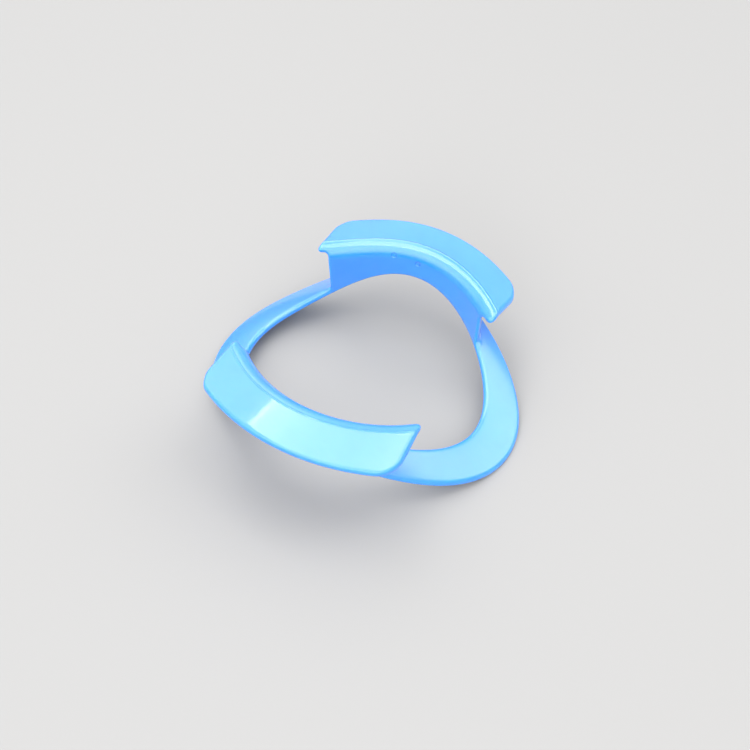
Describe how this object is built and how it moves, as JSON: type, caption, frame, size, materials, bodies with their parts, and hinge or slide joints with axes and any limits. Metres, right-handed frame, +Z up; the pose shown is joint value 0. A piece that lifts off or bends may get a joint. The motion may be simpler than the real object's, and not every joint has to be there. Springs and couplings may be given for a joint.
{
  "type": "cheek retractor",
  "caption": "Flexible saddle-shaped ring with two raised outward wings that hold the lips and cheeks away from the teeth.",
  "frame": {"origin": "centre of the footprint, on the table the ring stands on", "axes": "+Z up from the table, +Y from the front bow to the rear bow, +X towards the right wing"},
  "size_m": [0.0706, 0.0722, 0.023],
  "materials": {
    "blue_plastic": "glossy, slightly translucent sky-blue injection moulded plastic"
  },
  "bodies": {
    "root": {"front_bow": "blue_plastic", "rear_bow": "blue_plastic", "left_front_arm": "blue_plastic", "left_rear_arm": "blue_plastic", "left_side_rail": "blue_plastic", "left_throat_wall": "blue_plastic", "left_ridge": "blue_plastic", "left_wing": "blue_plastic"},
    "right_half": {"right_front_arm": "blue_plastic", "right_rear_arm": "blue_plastic", "right_side_rail": "blue_plastic", "right_throat_wall": "blue_plastic", "right_ridge": "blue_plastic", "right_wing": "blue_plastic"}
  },
  "joints": [
    {"name": "pinch_fold", "type": "hinge", "parent": "root", "child": "right_half", "pos_m": [0, 0, 0.002], "axis": [0, -1, 0], "range_deg": [-12, 50], "stiffness_Nm_per_rad": 0.35, "deforming": ["front_bow", "rear_bow"]}
  ]
}
